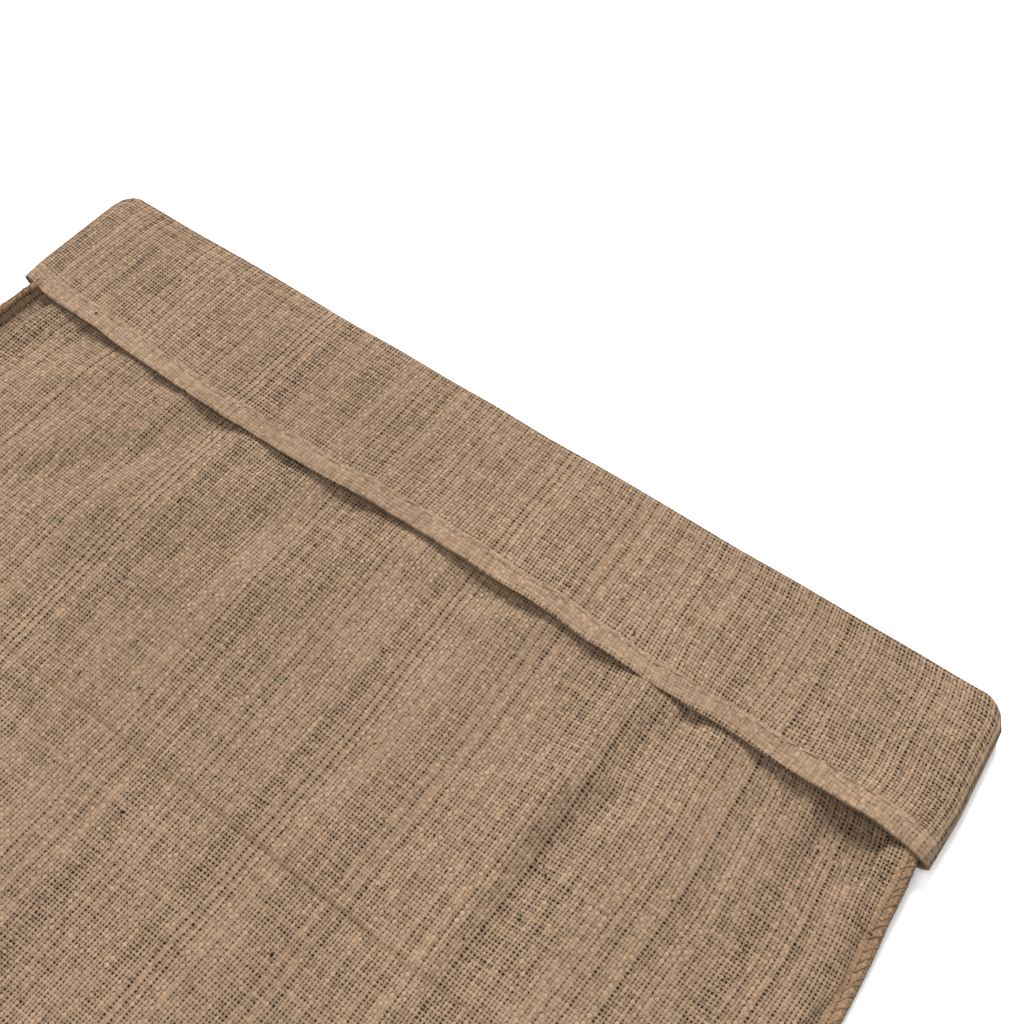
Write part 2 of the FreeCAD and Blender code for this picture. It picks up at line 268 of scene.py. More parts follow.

    # dark bits of bark left in the yarn, and painted shade in the holes between yarns, where the
    # shaded cloth beneath would show through
    speck = unevenness((across, 260.0), (along, 190.0), start=2.0)
    marked = mix_colour(between(speck, 0.70, 0.82), crease_shaded, bark_and_hole_shade)
    colour = mix_colour(between(height, 0.04, 0.30), bark_and_hole_shade, marked)

    bump = nodes.new("ShaderNodeBump")
    bump.inputs["Strength"].default_value = 0.65
    bump.inputs["Distance"].default_value = 0.0007
    links.new(times_plus(fibre, 0.22, height), bump.inputs["Height"])
    shader = nodes.new("ShaderNodeBsdfPrincipled")
    shader.inputs["Roughness"].default_value = 0.93
    shader.inputs["Specular IOR Level"].default_value = 0.10
    shader.inputs["Sheen Weight"].default_value = 0.02
    shader.inputs["Sheen Roughness"].default_value = 0.6
    links.new(colour, shader.inputs["Base Color"])
    links.new(bump.outputs[0], shader.inputs["Normal"])
    output = nodes.new("ShaderNodeOutputMaterial")
    links.new(shader.outputs[0], output.inputs[0])
    return material


jute = weave_material(
    "jute cloth",
    straw=(0.18, 0.121, 0.0767),
    dusk=(0.159, 0.106, 0.068),
    # painted shade between the yarns
    shadow=(0.0352, 0.02, 0.0096),
    # painted shade in the holes between yarns, and also the dark of bits of bark in the yarn
    bark_and_hole_shade=(0.0064, 0.0032, 0.00128),
)


def cloth_piece(name, face, measured, thickness, material):
    """A closed sheet of cloth. face holds rows of points of its outer side, and the other side
    lies one thickness behind it. measured holds metres across and along the flat cloth."""
    rows, columns = face.shape[:2]
    normal = np.cross(np.gradient(face, axis=1), np.gradient(face, axis=0))
    normal /= np.linalg.norm(normal, axis=2)[:, :, None]
    other = face - normal * thickness
    points = np.concatenate([face.reshape(-1, 3), other.reshape(-1, 3)])
    count = rows * columns
    number = np.arange(count).reshape(rows, columns)
    a = number[:-1, :-1].ravel()
    b = number[:-1, 1:].ravel()
    c = number[1:, 1:].ravel()
    d = number[1:, :-1].ravel()
    faces = [np.stack([a, b, c, d], axis=1), np.stack([d, c, b, a], axis=1) + count]
    for rim in (number[0, :], number[:, -1], number[-1, ::-1], number[::-1, 0]):
        faces.append(np.stack([rim[1:], rim[:-1], rim[:-1] + count, rim[1:] + count], axis=1))
    faces = np.concatenate(faces)
    mesh = bpy.data.meshes.new(name)
    mesh.from_pydata(points.tolist(), [], faces.tolist())
    layer = mesh.uv_layers.new(name="UVMap")
    flat = np.concatenate([measured.reshape(-1, 2)] * 2)
    corner = np.empty(len(mesh.loops), dtype=np.int32)
    mesh.loops.foreach_get("vertex_index", corner)
    layer.data.foreach_set("uv", flat[corner].ravel())
    mesh.polygons.foreach_set("use_smooth", [True] * len(mesh.polygons))
    mesh.materials.append(material)
    mesh.update()
    made = bpy.data.objects.new(name, mesh)
    bpy.context.scene.collection.objects.link(made)
    return made


def ease(given):
    """Goes smoothly from 0 to 1 as given does."""
    given = np.clip(given, 0.0, 1.0)
    return given * given * (3.0 - 2.0 * given)


def hump(given, middle, width):
    """A smooth hump, one high at its middle."""
    return np.exp(-(((given - middle) / width) ** 2))


def ripple(x, y, seed, size_x, size_y):
    """A smooth random height between about -1 and 1 with features of about these sizes."""
    dice = np.random.default_rng(seed)
    total = np.zeros(np.broadcast(x, y).shape)
    for _ in range(14):
        turn_x = dice.normal(0.0, 1.0) / size_x
        turn_y = dice.normal(0.0, 1.0) / size_y
        total += np.cos(turn_x * x + turn_y * y + dice.uniform(0.0, 2 * math.pi))
    return total / 5.3


def body_half_width(y, side):
    """Distance of a side seam's edge from the middle. side is negative for the left seam."""
    places = [-0.4625, -0.392, 0.20, 0.287, 0.311, 0.337, 0.355, 0.370, 0.388, 0.4606]
    halves = [0.302, 0.305, 0.3065, 0.3065, 0.3045, 0.3015, 0.2995, 0.2965, 0.292, 0.287]
    bulge_places = [0.20, 0.29, 0.32, 0.340, 0.370, 0.390]
    right_bulge = np.interp(y, bulge_places, [0.0, 0.0020, 0.0020, 0.0015, 0.0025, 0.0])
    return np.interp(y, places, halves) + right_bulge * (np.asarray(side) > 0)


def seam_lift(y):
    """Height of the plane where the two plies meet at the side seams."""
    return np.interp(y, [-0.4625, 0.30, 0.368, 0.4606], [0.0028, 0.0028, 0.0080, 0.0080])


def in_the_open(y):
    """One along the open part of the body, and nothing under the cuff and at the bottom fold."""
    return ease((0.385 - y) / 0.02) * ease((y + 0.45) / 0.05)


def front_top(x, y):
    """Height of the upper face of the front panel, before the cloth has settled."""
    half = body_half_width(y, x)
    seam = seam_lift(y) + SEAM_PLY
    level = np.interp(
        y,
        [-0.4625, -0.40, -0.34, 0.34, 0.375, 0.4606],
        [0.0044, 0.0095, 0.0112, 0.0104, 0.0119, 0.0122],
    )
    rise_width = np.interp(y, [0.30, 0.38], [0.045, 0.012])
    height = seam + (level - seam) * ease((half - SEAM_FLANGE - np.abs(x)) / rise_width)
    body = in_the_open(y)
    # the deep fold that runs out from under the cuff, with a ridge on either side:
    # height, distance from the fold's line, width
    lane = 0.166 - 0.009 * ease((0.37 - y) / 0.12)
    fade = ease((y - 0.12) / 0.16) * body
    for rise, beside, width in (
        (-0.0082, 0.0, 0.0088),
        (0.0022, 0.026, 0.016),
        (0.0032, -0.020, 0.012),
    ):
        height += rise * fade * hump(x - lane, beside, width)
    # shallower folds along the sack, each with a low ridge on its right:
    # place at the cuff, drift away from it, depth, width
    for place, drift, depth, width in (
        (-0.150, 0.02, 0.0030, 0.016),
        (-0.245, -0.03, 0.0022, 0.014),
        (-0.060, 0.03, 0.0016, 0.020),
        (0.045, -0.02, 0.0024, 0.017),
        (0.235, 0.02, 0.0026, 0.015),
    ):
        lane = place + drift * (0.37 - y) * 2.0
        height -= depth * body * hump(x, lane, width)
        height += 0.5 * depth * body * hump(x - lane, 1.9 * width, width)
    height += 0.0010 * body * ripple(x, y, 5, 0.012, 0.050)
    return np.maximum(height, seam - 0.0004)


def across_places(count):
    """Columns across the sack, closer together near the seams."""
    even = np.linspace(-1.0, 1.0, count)
    return np.sign(even) * np.interp(np.abs(even), [0.0, 0.66, 1.0], [0.0, 0.85, 1.0])


def front_grid():
    across = across_places(COLUMN_COUNT)
    # rows closer together where the storage crease runs
    row_knots = [0, 73, 87, ROW_COUNT - 1]
    y = np.interp(np.arange(ROW_COUNT), row_knots, [BOTTOM_END, 0.182, 0.216, MOUTH_END])[:, None]
    x = across[None, :] * body_half_width(y, across[None, :])
    y = np.broadcast_to(y, x.shape)
    return np.stack([x, y, front_top(x, y)], axis=2)


def settle(grid):
    """Lets the front panel settle as cloth: a little slack, held at its seams, bottom and mouth."""
    rows, columns = grid.shape[:2]
    number = np.arange(rows * columns).reshape(rows, columns)
    corners = (number[:-1, :-1], number[:-1, 1:], number[1:, 1:], number[1:, :-1])
    quads = np.stack([corner.ravel() for corner in corners], axis=1)
    mesh = bpy.data.meshes.new("settling")
    mesh.from_pydata(grid.reshape(-1, 3).tolist(), [], quads.tolist())
    sheet = bpy.data.objects.new("settling", mesh)
    bpy.context.scene.collection.objects.link(sheet)
    held = sheet.vertex_groups.new(name="held")
    edges = (number[:, :3], number[:, -3:], number[:2, :], number[-9:, :])
    held_points = np.unique(np.concatenate([edge.ravel() for edge in edges]))
    held.add([int(i) for i in held_points], 1.0, "REPLACE")
    # a level bed above the back panel, which the front can't sink through
    bed_height = 0.0036
    bed_corners = ((-0.5, -0.6), (0.5, -0.6), (0.5, 0.6), (-0.5, 0.6))
    bed_mesh = bpy.data.meshes.new("bed")
    bed_mesh.from_pydata([(x, y, bed_height) for x, y in bed_corners], [], [(0, 1, 2, 3)])
    bed = bpy.data.objects.new("bed", bed_mesh)
    bpy.context.scene.collection.objects.link(bed)
    bed.modifiers.new("bed", "COLLISION")
    bed.collision.thickness_outer = 0.0008
    cloth = sheet.modifiers.new("cloth", "CLOTH")
    rules = cloth.settings
    rules.quality = 6
    rules.mass = 0.0006
    rules.tension_stiffness = 25.0
    rules.compression_stiffness = 25.0
    rules.shear_stiffness = 8.0
    rules.bending_stiffness = 0.6
    rules.air_damping = 3.0
    rules.shrink_min = -0.0022
    rules.vertex_group_mass = "held"
    cloth.collision_settings.distance_min = 0.0008
    cloth.collision_settings.use_self_collision = False
    scene = bpy.context.scene
    last_step = 26
    cloth.point_cache.frame_start = 1
    cloth.point_cache.frame_end = last_step
    for step in range(1, last_step + 1):
        scene.frame_set(step)
    settled = sheet.evaluated_get(bpy.context.evaluated_depsgraph_get())
    points = np.empty(rows * columns * 3)
    settled.data.vertices.foreach_get("co", points)
    scene.frame_set(1)
    for thing in (sheet, bed):
        data = thing.data
        bpy.data.objects.remove(thing)
        bpy.data.meshes.remove(data)
    return points.reshape(rows, columns, 3)


def refined(grid):
    """Twice as many steps each way, on a smooth curve through the points."""
    for axis in (0, 1):
        rows = np.moveaxis(grid, axis, 0)
        wide = np.concatenate([2 * rows[:1] - rows[1:2], rows, 2 * rows[-1:] - rows[-2:-1]])
        finer = np.empty((2 * len(rows) - 1, *rows.shape[1:]))
        finer[0::2] = rows
        finer[1::2] = (9 * (wide[1:-2] + wide[2:-1]) - wide[:-3] - wide[3:]) / 16
        grid = np.moveaxis(finer, 0, axis)
    return grid


def seam_shape(x, y, height):
    """The settled front with the roll of each side seam and the hollows beside them."""
    from_edge = body_half_width(y, x) - np.abs(x)
    seam = seam_lift(y) + SEAM_PLY
    body = in_the_open(y)
    # the overcasting rolls the cloth's edge
    bunching = 1.0 + 0.4 * ripple(0.0, y, 6, 1.0, 0.006)
    height = height + 0.0013 * hump(from_edge, 0.0035, 0.0032) * bunching
    height -= 0.0008 * hump(from_edge, 0.0120, 0.0035) * body
    # beside the cuff the left seam stands up, with a groove inside it
    left = ease((y - 0.22) / 0.08) * ease((0.394 - y) / 0.016) * (x < 0)
    wave = 1.0 + 0.25 * ripple(0.0, y, 7, 1.0, 0.010)
    height += 0.0072 * wave * left * hump(from_edge, 0.0050, 0.0040)
    height -= 0.0070 * left * hump(from_edge, 0.0140, 0.0042)
    # the right one is a flat flange with a deep hollow inside it, just outside the cuff
    right = ease((y - 0.30) / 0.05) * ease((0.394 - y) / 0.015) * (x > 0)
    height += 0.0036 * right * hump(from_edge, 0.009, 0.0085)
    sunk = ease((x - 0.248) / 0.014) * ease((0.2835 - x) / 0.0035)
    height -= 0.0125 * sunk * ease((y - 0.328) / 0.032) * ease((0.400 - y) / 0.012)
    beside = ease((x - 0.240) / 0.02) * ease((0.2845 - x) / 0.005)
    height -= 0.0024 * beside * ease((y - 0.25) / 0.08) * body
    # it never goes through the back panel
    lowest = np.interp(y, [-0.45, 0.352, 0.374], [0.0028, 0.0028, 0.0062])
    at_seam = ease((0.0165 - from_edge) / 0.006)
    groove = left * hump(from_edge, 0.0140, 0.0050)
    return np.maximum(height, lowest + (seam - 0.0004 - lowest) * at_seam * (1.0 - groove))


front = front_grid()
front = settle(front)
front = refined(front)
front_x = front[:, :, 0]
front_y = front[:, :, 1]
front[:, :, 2] = seam_shape(front_x, front_y, front[:, :, 2])
# the storage crease is pressed right across the front, and the weave has its own unevenness
crease_wave = 0.0012 * ripple(front_x, 0.0, 8, 0.03, 1.0)
off_crease = front_y - (CREASE_Y - (front_x + CREASE_PIVOT) * CREASE_SLOPE + crease_wave)
pressed = 0.55 + 0.45 * ripple(front_x, 0.0, 9, 0.035, 1.0)
front[:, :, 2] -= 0.00050 * pressed * hump(off_crease, 0.0, 0.0024)
front[:, :, 2] += 0.00050 * pressed * hump(off_crease, 0.0050, 0.0035)
front[:, :, 2] += 0.00022 * ripple(front_x, front_y, 12, 0.0022, 0.006)

# the bottom fold, from the front's bottom end round to the back
BOTTOM_BULGE = 0.0022
half_height = 0.5 * front[0, :, 2]
bend_rows = []
for angle in np.linspace(0.0, math.pi, 9)[1:-1]:
    bend_y = np.full_like(half_height, BOTTOM_END - BOTTOM_BULGE * math.sin(angle))
    bend_z = half_height + half_height * math.cos(angle)
    bend_rows.append(np.stack([front[0, :, 0], bend_y, bend_z], axis=1))

# the back lies flat on the ground, and lifts to the seams at its sides and into the cuff
across = refined(across_places(COLUMN_COUNT)[None, :, None].repeat(2, axis=0))[0, :, 0]
back_y = np.linspace(BOTTOM_END, MOUTH_END - 0.0005, 60)[:, None]
back_x = across[None, :] * body_half_width(back_y, across[None, :])
back_y = np.broadcast_to(back_y, back_x.shape)
back_low = np.interp(back_y, [-0.47, 0.335, 0.368, 0.47], [0.0, 0.0, 0.0038, 0.0038])
out_share = ease((np.abs(back_x) - body_half_width(back_y, back_x) + 0.034) / 0.024)
back_z = back_low + (seam_lift(back_y) - SEAM_PLY - back_low) * out_share
back_z[0] = 0.0
back = np.stack([back_x, back_y, back_z], axis=2)

face = np.concatenate([back[::-1], np.array(bend_rows[::-1]), front])
step = np.linalg.norm(np.diff(face, axis=0), axis=2).mean(axis=1)
walked = np.concatenate([[0.0], np.cumsum(step)])
walked -= walked[-1]
flat_x = across[None, :] * CLOTH_HALF_WIDTH
measured = np.stack(np.broadcast_arrays(flat_x, walked[:, None]), axis=2)
body_cloth = cloth_piece("sack_body_cloth", face, measured, CLOTH_THICKNESS, jute)
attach(body_cloth, "sack")
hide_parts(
    "front_panel",
    "front_panel_bottom",
    "front_panel_shoulder",
    "front_panel_mouth",
    "back_panel",
    "back_panel_shoulder",
    "back_panel_mouth",
    "bottom_fold",
    "front_right_seam_allowance_bottom",
    "front_right_seam_allowance",
    "front_right_seam_allowance_shoulder",
    "front_right_seam_allowance_mouth",
    "front_left_seam_allowance_bottom",
    "front_left_seam_allowance",
    "front_left_seam_allowance_shoulder",
    "front_left_seam_allowance_mouth",
    "back_right_seam_allowance",
    "back_right_seam_allowance_shoulder",
    "back_right_seam_allowance_mouth",
    "back_left_seam_allowance",
    "back_left_seam_allowance_shoulder",
    "back_left_seam_allowance_mouth",
)

# ---------------------------------------------------------------------------
# The cuff: the last of the cloth at the mouth, turned down outside the sack. Its free edge is
# hemmed: turned once towards the inside of the sack, which faces out here, and sewn down.
# The front half lies on the sack and the back half under it. They close at the sides.
CUFF_COLUMNS = 301
CUFF_ROWS = 40
MOUTH_FOLD_Y = 0.4625
MOUTH_ARC = 0.006  # cloth taken up by the turn at the mouth
CORNER_REACH = 0.0115  # how far the rounded corners fall back
CORNER_START = 0.284
HEM_WIDTH = 0.0115
HEM_TURN_RADIUS = 0.00125
MIDDLE_HEIGHT = 0.0080  # of the plane between the front half and the back half


def free_edge_y(x):
    """Where the cuff's wavy free edge runs."""
    places = [-0.304, -0.277, -0.192, -0.158, -0.082, -0.009]
    places += [0.035, 0.115, 0.150, 0.195, 0.273, 0.305]
    depths = [0.080, 0.0855, 0.0895, 0.0912, 0.0905, 0.0868]
    depths += [0.0868, 0.0885, 0.0905, 0.0892, 0.0900, 0.0925]
    return MOUTH_FOLD_Y - np.interp(x, places, depths) + 0.0004 * ripple(x, 0.0, 31, 0.006, 1.0)


def cuff_half_width(y):
    return np.interp(y, [0.366, 0.40, 0.45, 0.4625], [0.3045, 0.3035, 0.2985, 0.2945])


def corner_cut(x):
    """How far the mouth fold falls back at the sack's rounded corners."""
    beyond = np.clip((np.abs(x) - CORNER_START) / CORNER_REACH, 0.0, 1.0)
    return CORNER_REACH * (1.0 - np.sqrt(1.0 - 0.985 * beyond**2))


def cuff_under(x, y, side):
    """Height of the face of the front cuff that lies against the sack. side tells how far out."""
    side = np.broadcast_to(side, np.broadcast(side, y).shape)
    rounding = np.clip((side - 0.957) / 0.043, 0, 1)
    height = 0.0129 - 0.0053 * (1.0 - np.sqrt(np.clip(1.0 - rounding**2, 0, 1)))
    inner = ease((1.0 - side) / 0.06)
    height += 0.0007 * inner * ripple(x, y, 41, 0.020, 0.030)
    # the free edge stands off the sack in waves, most near its right-hand end
    near_edge = ease((0.405 - y) / 0.035)
    height += 0.0010 * inner * near_edge * ripple(x, y, 43, 0.016, 0.05)
    height += 0.0046 * near_edge * hump(x, 0.266, 0.019) * inner
    height += 0.0007 * near_edge * hump(x, 0.170, 0.035)
    height += 0.0011 * near_edge * hump(x, -0.040, 0.050)
    # the body's deep fold shows through as a thin slanting crease
    below_mouth = ease((0.456 - y) / 0.025)
    slant = 0.10 * (y - 0.42)
    height -= 0.0011 * below_mouth * hump(x - 0.148 - slant, 0.0, 0.0028)
    height += 0.0007 * below_mouth * hump(x - 0.157 - slant, 0.0, 0.006)
    return height


def front_cuff_face():
    """Rows from the mouth to the free edge, round the hem's turn and back over the hem."""
    side = np.linspace(-1.0, 1.0, CUFF_COLUMNS)[None, :]
    share = np.linspace(0.0, 1.0, CUFF_ROWS)[:, None]
    top_y = MOUTH_END - corner_cut(side * 0.2955)
    edge_y = free_edge_y(side * 0.3)
    y = top_y + (edge_y - top_y) * share
    x = side * cuff_half_width(y)
    z = cuff_under(x, y, np.abs(side))
    flap = np.stack(np.broadcast_arrays(x, y, z), axis=2)
    # small puckers where the thread of the hem draws the cloth
    flap[:, :, 2] += 0.00035 * ripple(x, y, 47, 0.0030, 0.012) * hump(y - edge_y, HEM_WIDTH, 0.006)
    last = flap[-1]
    tuck = ease((1.0 - np.abs(side[0])) / 0.02)
    turn_rows = []
    for angle in np.linspace(0.0, math.pi, 8)[1:]:
        row = last.copy()
        row[:, 1] -= HEM_TURN_RADIUS * math.sin(angle)
        row[:, 2] += HEM_TURN_RADIUS * (1.0 - math.cos(angle)) * (0.35 + 0.65 * tuck)
        turn_rows.append(row)
    hem_rows = []
    reach = HEM_WIDTH + 0.0009 * ripple(last[:, 0], 0.0, 51, 0.008, 1.0)
    for part in np.linspace(0.0, 1.0, 9)[1:]:
        row = turn_rows[-1].copy()
        row[:, 1] += reach * part
        plump = 0.00035 * math.sin(math.pi * part) - 0.0004 * part
        row[:, 2] += plump + 0.00025 * ripple(row[:, 0], row[:, 1], 53, 0.0032, 0.004)
        row[:, 2] += cuff_under(row[:, 0], row[:, 1], np.abs(side[0])) - last[:, 2]
        hem_rows.append(row)
    return np.concatenate([flap, np.array(turn_rows), np.array(hem_rows)])


def drawn_weave(flat_map):
    """The hem's thread has drawn the weave: yarns near it bend, most towards the right-hand end."""
    side = flat_map[:, :, 0]
    along = flat_map[:, :, 1]
    near = hump(along - HEM_START, -0.006, 0.022)
    pull = (0.35 + 0.65 * ease((side - 0.05) / 0.2)) * near
    drawn = flat_map.copy()
    drawn[:, :, 0] += 0.0050 * pull * ripple(side, along, 55, 0.026, 0.030)
    drawn[:, :, 1] += 0.0042 * pull * ripple(side, along, 57, 0.020, 0.030)
    return drawn


def walked_map(face, start):
    """Metres across and along the flat cloth, walked over the face from a start."""
    step = np.linalg.norm(np.diff(face, axis=0), axis=2).mean(axis=1)
    walked = np.concatenate([[0.0], np.cumsum(step)]) + start
    side = np.linspace(-CLOTH_HALF_WIDTH, CLOTH_HALF_WIDTH, face.shape[1])
    return np.stack(np.broadcast_arrays(side[None, :], walked[:, None]), axis=2)


def mirrored_height(height):
    """The height on the back half that answers to one on the front half."""
    return 2 * MIDDLE_HEIGHT - height - 0.0002


face = front_cuff_face()
front_cuff_cloth = cloth_piece(
    "front_cuff_cloth", face, drawn_weave(walked_map(face, MOUTH_ARC)), CLOTH_THICKNESS, jute
)
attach(front_cuff_cloth, "front_cuff_half")
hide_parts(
    "front_cuff", "front_cuff_right_side", "front_cuff_left_side", "front_hem"
)

# the back half is the same cloth, mirrored under the sack and cut from another part of the weave
BACK_MAP_START = MOUTH_ARC + 0.4
back_face = face.copy()
back_face[:, :, 2] = mirrored_height(back_face[:, :, 2])
# the ground presses it flat: the plain cloth lies above the turned hem, and both above the ground
back_face[:CUFF_ROWS, :, 2] = np.maximum(back_face[:CUFF_ROWS, :, 2], 0.0027)
back_face[CUFF_ROWS:, :, 2] = np.maximum(back_face[CUFF_ROWS:, :, 2], 0.0012)
back_map = walked_map(face, BACK_MAP_START)
back_cuff_cloth = cloth_piece(
    "back_cuff_cloth", back_face[:, ::-1], back_map[:, ::-1], CLOTH_THICKNESS, jute
)
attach(back_cuff_cloth, "back_cuff_half")
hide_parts("back_cuff", "back_cuff_right_side", "back_cuff_left_side", "back_hem")


# ---------------------------------------------------------------------------
# The mouth folds: the cloth's turn from the panel into the cuff. It opens flat when the cuff is
# turned up.
def mouth_arc(front_side):
    """Rows round the turn, from the cuff's top edge to the panel's mouth end."""
    side = np.abs(np.linspace(-1.0, 1.0, CUFF_COLUMNS))
    upper = face[0]
    high = upper[:, 2] + CLOTH_THICKNESS
    low = np.where(side < 0.955, 0.0110, 0.0110 - 0.0028 * ease((side - 0.955) / 0.02))
    low = np.minimum(low, high - 0.0006)
    middle = 0.5 * (high + low)
    radius = 0.5 * (high - low)
    bulge = np.minimum(0.0019, radius * 1.1)
    rows = []
    for angle in np.linspace(0.0, math.pi, 11):
        fold_y = upper[:, 1] + bulge * math.sin(angle)
        rows.append(np.stack([upper[:, 0], fold_y, middle + radius * math.cos(angle)], axis=1))
    rows = np.array(rows)
    if not front_side:
        rows[:, :, 2] = mirrored_height(rows[:, :, 2])
    return rows


for name, front_side, cuff_body, node in (
    ("front_mouth_fold_cloth", True, "front_cuff_half", "front_mouth_fold"),
    ("back_mouth_fold_cloth", False, "back_cuff_half", "back_mouth_fold"),
):
    arc = mouth_arc(front_side)
    flat_map = walked_map(arc, 0.0)
    flat_map[:, :, 1] = MOUTH_ARC - flat_map[:, :, 1]
    if front_side:
        piece = cloth_piece(name, arc, flat_map, CLOTH_THICKNESS, jute)
        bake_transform(piece)
    else:
        piece = cloth_piece(name, arc[:, ::-1], flat_map[:, ::-1], CLOTH_THICKNESS, jute)
        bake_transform(piece)
    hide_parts(node)


# ---------------------------------------------------------------------------
# The side seams: heavy twine of spun jute, overcast by machine right along each side. It goes over
# the two plies' edges and rolls them together.
TWINE_RADIUS = 0.00048
STITCH_PITCH = 0.0052
TWIST = 260.0  # turns of the two plies to the metre


def yarn_material(name, light, dark):
    """Spun jute: patches of two browns, and a bump of fine strands."""
    material = bpy.data.materials.new(name)
    material.use_nodes = True
    nodes = material.node_tree.nodes
    links = material.node_tree.links
    shader = nodes["Principled BSDF"]
    where = nodes.new("ShaderNodeTexCoord")
    patch = nodes.new("ShaderNodeTexNoise")
    patch.inputs["Scale"].default_value = 160.0
    patch.inputs["Detail"].default_value = 3.0
    links.new(where.outputs["Object"], patch.inputs["Vector"])
    strand = nodes.new("ShaderNodeTexNoise")
    strand.inputs["Scale"].default_value = 1400.0
    strand.inputs["Detail"].default_value = 2.0
    links.new(where.outputs["Object"], strand.inputs["Vector"])
    mixer = nodes.new("ShaderNodeMix")
    mixer.data_type = "RGBA"
    mixer.inputs[6].default_value = (*dark, 1.0)
    mixer.inputs[7].default_value = (*light, 1.0)
    links.new(patch.outputs["Fac"], mixer.inputs["Factor"])
    bump = nodes.new("ShaderNodeBump")
    bump.inputs["Strength"].default_value = 0.7
    bump.inputs["Distance"].default_value = 0.0004
    links.new(strand.outputs["Fac"], bump.inputs["Height"])
    links.new(bump.outputs[0], shader.inputs["Normal"])
    links.new(mixer.outputs[2], shader.inputs["Base Color"])
    shader.inputs["Roughness"].default_value = 0.92
    shader.inputs["Specular IOR Level"].default_value = 0.18
    shader.inputs["Sheen Weight"].default_value = 0.03
    return material


twine_look = yarn_material("seam twine", (0.16, 0.0992, 0.0552), (0.088, 0.0496, 0.0248))


def twisted_yarn(name, path, radius, material):
    """Two plies twisted round one another along a path, each a round strand with closed ends."""
    plies = 2
    sides = 6
    ply_radius = radius * 0.56
    tangent = np.gradient(path, axis=0)
    tangent /= np.linalg.norm(tangent, axis=1)[:, None]
    lengths = np.concatenate([[0.0], np.cumsum(np.linalg.norm(np.diff(path, axis=0), axis=1))])
    up = np.array([0.0, 0.0, 1.0])
    frames = []
    for direction in tangent:
        up = up - direction * (up @ direction)
        up /= np.linalg.norm(up)
        frames.append((up.copy(), np.cross(direction, up)))
    rings = len(path)
    points = []
    faces = []
    for ply in range(plies):
        start = len(points)
        phase = 2 * math.pi * ply / plies
        for centre, length, (first, second) in zip(path, lengths, frames):
            angle = phase + 2 * math.pi * TWIST * length
            hub = centre + 0.5 * radius * (math.cos(angle) * first + math.sin(angle) * second)
            for k in range(sides):
                turn = 2 * math.pi * k / sides
                points.append(hub + ply_radius * (math.cos(turn) * first + math.sin(turn) * second))
        for i in range(rings - 1):
            for k in range(sides):
                a = start + i * sides + k
                b = start + i * sides + (k + 1) % sides
                faces.append((a, b, b + sides, a + sides))
        faces.append(tuple(start + k for k in reversed(range(sides))))
        faces.append(tuple(start + (rings - 1) * sides + k for k in range(sides)))
    mesh = bpy.data.meshes.new(name)
    mesh.from_pydata([tuple(point) for point in points], [], faces)
    mesh.polygons.foreach_set("use_smooth", [True] * len(mesh.polygons))
    mesh.materials.append(material)
    mesh.update()
    made = bpy.data.objects.new(name, mesh)
    bpy.context.scene.collection.objects.link(made)
    return made


def smoothed_path(path):
    return refined(np.array(path)[:, None, :].repeat(2, axis=1))[:, 0, :]


def seam_x(side, y, inwards):
    return side * (float(body_half_width(y, side)) - inwards)


def seam_top(side, y, inwards):
    """Height of the settled cloth at a place a little way in from a side seam."""
    row = front[int(np.argmin(np.abs(front[:, 0, 1] - y)))]
    return float(np.interp(seam_x(side, y, inwards), row[:, 0], row[:, 2]))


def overcast_path(side):
    """One continuous twine: up through the cloth, slanting over the edge, under it and up again."""
    dice = np.random.default_rng(71 + side)
    y = BOTTOM_END + 0.004
    path = []
    while y < MOUTH_END - 0.014:
        reach = 0.0060 + dice.uniform(-0.0016, 0.0016)
        lean = 0.0066 + dice.uniform(-0.0012, 0.0012)
        turn = []
        # the upper leg follows the rolled cloth outwards: share of the way out, and forwards
        upper_leg = (
            (0.0, 0.0),
            (0.12, 0.0004),
            (0.45, 0.5 * lean),
            (0.8, 0.85 * lean),
            (0.98, lean),
        )
        for share, forward in upper_leg:
            inwards = reach * (1.0 - share)
            bite = -0.0012 if share == 0.0 else 0.00005
            high = seam_top(side, y + forward, inwards)
            turn.append((seam_x(side, y + forward, inwards), forward, high + bite))
        # the lower one comes back underneath
        low = float(seam_lift(y)) - SEAM_PLY
        outer = seam_x(side, y + lean, 0.0008)
        turn.append((outer, lean, 0.5 * (low + turn[-1][2])))
        turn.append((outer, lean, low - 0.0004))
        turn.append((seam_x(side, y, reach * 0.5), 0.9 * STITCH_PITCH, low - 0.0005))
        turn.append((seam_x(side, y, reach), STITCH_PITCH, low - 0.0004))
        for x, forward, z in turn:
            path.append((x, y + forward, z))
        y += STITCH_PITCH * (1.0 + dice.uniform(-0.1, 0.1))
    return smoothed_path(path)


for name, side, node in (
    ("right_seam_overcasting", 1, "right_seam_twine"),
    ("left_seam_overcasting", -1, "left_seam_twine"),
):
    twine = twisted_yarn(name, overcast_path(side), TWINE_RADIUS, twine_look)
    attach(twine, "sack")
    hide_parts(node)

# ---------------------------------------------------------------------------
# The hem's stitching: a finer thread of spun jute, one running line near the hem's raw edge. Each
# stitch is a float on top that dips through the cloth at both ends.
THREAD_RADIUS = 0.00056
LINE_END = 0.287
THREAD_LOWEST = 0.0006
thread_look = yarn_material("hem thread", (0.172, 0.1168, 0.0744), (0.104, 0.0664, 0.0384))


